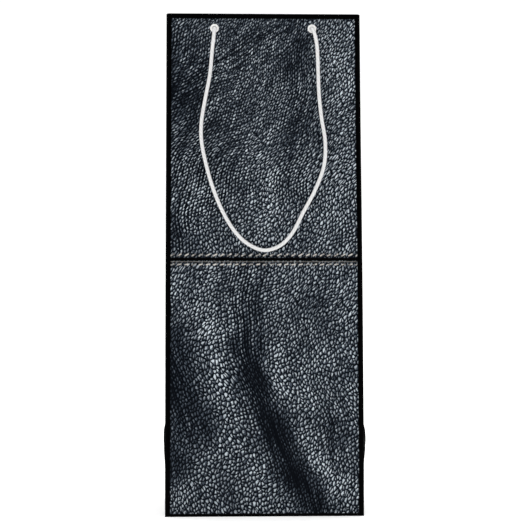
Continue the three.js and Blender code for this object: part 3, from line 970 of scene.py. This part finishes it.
def face_outwards(piece):
    """Turns a closed mesh right side out if its signed volume is negative."""
    mesh = piece.data
    mesh.calc_loop_triangles()
    corners = np.empty(len(mesh.loop_triangles) * 3, np.int32)
    mesh.loop_triangles.foreach_get("vertices", corners)
    places = np.empty(len(mesh.vertices) * 3)
    mesh.vertices.foreach_get("co", places)
    a, b, c = places.reshape(-1, 3)[corners.reshape(-1, 3)].transpose(1, 0, 2)
    if (a * np.cross(b, c)).sum() < 0:
        mesh.flip_normals()


# ---- Operators ----------------------------------------------------------------------------------

class BAG_OT_stage(bpy.types.Operator):
    """Sets up the pale floor, the soft lights and the camera"""
    bl_idname = "bag.stage"
    bl_label = "Stage"

    def execute(self, context):
        scene = context.scene
        scene.view_settings.view_transform = "Standard"
        floor()
        lights()
        scene.camera = camera()
        return {"FINISHED"}


def floor():
    """A floor that curves up into a backdrop: flat, then a quarter circle, then upright."""
    radius, near, far, height, half = 1.2, -2.6, 1.6, 3.0, 4.0
    angle = np.linspace(0, math.pi / 2, 24)
    y = np.concatenate([[near, 0], far + radius * np.sin(angle), [far + radius]])
    z = np.concatenate([[0, 0], radius * (1 - np.cos(angle)), [height]])
    x = np.linspace(-half, half, 3)
    points = np.stack(np.broadcast_arrays(x[:, None], y[None], z[None]), axis=-1)
    piece, _ = surface("backdrop", points, points[..., :2])
    s = Shader("Pale backdrop", 0.9, 0.0)
    tint = s.ramp(s.noise(s.object_coordinates(), 3.0), 0.3, 0.7)
    s.principled.inputs["Emission Color"].default_value = (1, 1, 1, 1)
    s.principled.inputs["Emission Strength"].default_value = 0.22
    paint(piece, s.finish(s.mix(tint, (0.93, 0.93, 0.93, 1), (0.95, 0.95, 0.95, 1))))


def lights():
    """White surroundings, and soft lamps: two in front of the bag, one above it and one behind it.

    The surroundings cast less light from the front, but the camera sees them white all round."""
    world = bpy.data.worlds.new("Surround")
    world.use_nodes = True
    tree = world.node_tree
    ray = tree.nodes.new("ShaderNodeLightPath")
    place = tree.nodes.new("ShaderNodeTexCoord")
    parts = tree.nodes.new("ShaderNodeSeparateXYZ")
    front = tree.nodes.new("ShaderNodeMapRange")
    seen = tree.nodes.new("ShaderNodeMath")
    seen.operation = "MAXIMUM"
    tree.nodes["Background"].inputs["Color"].default_value = (1, 1, 1, 1)
    for socket, value in ((1, -0.8), (2, -0.2), (3, 0.15), (4, 1.05)):
        front.inputs[socket].default_value = value
    tree.links.new(place.outputs["Generated"], parts.inputs[0])
    tree.links.new(parts.outputs[1], front.inputs[0])
    tree.links.new(front.outputs[0], seen.inputs[0])
    tree.links.new(ray.outputs["Is Camera Ray"], seen.inputs[1])
    tree.links.new(seen.outputs[0], tree.nodes["Background"].inputs["Strength"])
    bpy.context.scene.world = world
    lamps = [
        ("key", (-1.6, -1.1, 1.0), 1.4, 14), ("fill", (1.7, -1.1, 0.8), 1.4, 12),
        ("top", (0.0, 0.6, 2.2), 1.8, 20), ("behind", (0.3, 1.0, 1.9), 1.5, 12),
    ]
    for name, place, size, power in lamps:
        lamp = bpy.data.lights.new(name, "AREA")
        lamp.size = size
        lamp.energy = power
        holder = bpy.data.objects.new(name, lamp)
        holder.location = place
        aim = Vector((0, 0, 0.17)) - Vector(place)
        holder.rotation_euler = aim.to_track_quat("-Z", "Y").to_euler()
        bpy.context.collection.objects.link(holder)


def camera():
    """A long lens level with the bag's middle, a little to the left of square on."""
    data = bpy.data.cameras.new("camera")
    holder = bpy.data.objects.new("camera", data)
    bpy.context.collection.objects.link(holder)
    azimuth = math.radians(-1.9)
    distance, height = 1.03, 0.1742
    data.lens = 101.0
    face = Vector((0.0002, -HALF_DEPTH, height))
    holder.location = face + distance * Vector((math.sin(azimuth), -math.cos(azimuth), 0))
    holder.rotation_euler = (math.pi / 2, 0, azimuth)
    return holder


class BAG_OT_handles(bpy.types.Operator):
    """Makes the two cord handles with their knots"""
    bl_idname = "bag.handles"
    bl_label = "Handles"

    def execute(self, context):
        material = made("White twisted cord", white_cord)
        for back in (False, True):
            word = "back" if back else "front"
            piece, path = handle(back, material)
            face_outwards(piece)
            for point, lean in ((path[0], -1), (path[-1], 1)):
                side = "left" if point[0] < 0 else "right"
                tied = knot(f"{word}_{side}_stopper_knot", point, back, lean, material)
                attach(tied, f"{word}_wall")
                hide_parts(f"{word}_{side}_knot")
            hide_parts(f"{word}_handle_cord")
            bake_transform(piece)
        return {"FINISHED"}


class BAG_OT_faces(bpy.types.Operator):
    """Makes the printed front and back with their turned hems"""
    bl_idname = "bag.faces"
    bl_label = "Faces"

    def execute(self, context):
        materials = [made("Printed leather paper", printed_leather),
                     made("White paper inside", white_paper),
                     made("Black laminated paper", black_paper)]
        for back in (False, True):
            word = "back" if back else "front"
            sheet = face_sheet(back, materials)
            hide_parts(f"{word}_upper_panel", f"{word}_lower_panel", f"{word}_top_hem")
            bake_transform(sheet)
        return {"FINISHED"}


class BAG_OT_gussets(bpy.types.Operator):
    """Makes the folded sides of the bag"""
    bl_idname = "bag.gussets"
    bl_label = "Gussets"

    def execute(self, context):
        black = made("Black laminated paper", black_paper)
        materials = [black, made("White paper inside", white_paper), black]
        for side, word in ((-1, "left"), (1, "right")):
            lower = lower_gusset(side, materials)
            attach(lower, "base")
            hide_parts(f"{word}_lower_gusset")
            for back in (False, True):
                wall = "back" if back else "front"
                half = half_gusset(side, back, materials)
                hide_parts(f"{wall}_{word}_half_gusset", f"{wall}_{word}_gusset_hem")
                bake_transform(half)
        return {"FINISHED"}


class BAG_OT_eyelets(bpy.types.Operator):
    """Makes the four eyelets"""
    bl_idname = "bag.eyelets"
    bl_label = "Eyelets"

    def execute(self, context):
        material = made("White eyelet plastic", white_plastic)
        for back in (False, True):
            wall = "back" if back else "front"
            for x in (-EYELET_X, EYELET_X):
                word = "left" if (x < 0) != back else "right"
                piece = eyelet(f"{wall}_{word}_eyelet_ring", x, back, material)
                face_outwards(piece)
                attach(piece, f"{wall}_wall")
                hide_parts(f"{wall}_{word}_eyelet")
        return {"FINISHED"}


class BAG_OT_base(bpy.types.Operator):
    """Makes the glued seam, and finishes the bottom flaps and the cards"""
    bl_idname = "bag.base"
    bl_label = "Base and cards"

    def execute(self, context):
        white = made("White paper inside", white_paper)
        black = made("Black laminated paper", black_paper)
        board = made("Grey board", grey_board)
        upper = seam_flap("back_seam_strip", CREASE + 1 * MM, TOTAL - HEM_HEIGHT - 1 * MM, [white] * 3)
        lower = seam_flap("back_lower_seam_strip", 2 * MM, CREASE, [white] * 3)
        strips = [(upper, "back_seam_flap", "back_wall"), (lower, "back_lower_seam_flap", "base")]
        for strip, node, body in strips:
            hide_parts(node)
            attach(strip, body)
        for name in ("bottom_front_flap", "bottom_back_flap"):
            paint(frame["nodes"][name], black)
        for name in ("bottom_left_flap", "bottom_right_flap"):
            paint(frame["nodes"][name], white)
        for name in ("base_card", "front_top_card", "back_top_card"):
            paint(frame["nodes"][name], board)
        return {"FINISHED"}


class BAG_PT_panel(bpy.types.Panel):
    """Lists the steps that build the bag"""
    bl_idname = "BAG_PT_panel"
    bl_label = "Paper Bottle Bag"
    bl_space_type = "VIEW_3D"
    bl_region_type = "UI"
    bl_category = "Bag"

    def draw(self, context):
        for group in ("print_face", "paper", "cord"):
            values = getattr(context.scene.paper_bag, group)
            for name in values.__annotations__:
                self.layout.prop(values, name)
        for operator in OPERATORS:
            self.layout.operator(operator.bl_idname)


OPERATORS = (BAG_OT_stage, BAG_OT_handles, BAG_OT_faces, BAG_OT_gussets, BAG_OT_eyelets, BAG_OT_base)
CLASSES = (PrintSettings, PaperSettings, CordSettings, BagSettings, *OPERATORS, BAG_PT_panel)


def register():
    for cls in CLASSES:
        bpy.utils.register_class(cls)
    bpy.types.Scene.paper_bag = bpy.props.PointerProperty(type=BagSettings)


def unregister():
    del bpy.types.Scene.paper_bag
    for cls in reversed(CLASSES):
        bpy.utils.unregister_class(cls)


def main():
    """Builds everything in order."""
    register()
    bpy.ops.bag.stage()
    bpy.ops.bag.handles()
    bpy.ops.bag.faces()
    bpy.ops.bag.gussets()
    bpy.ops.bag.eyelets()
    bpy.ops.bag.base()


if __name__ == "__main__":
    main()
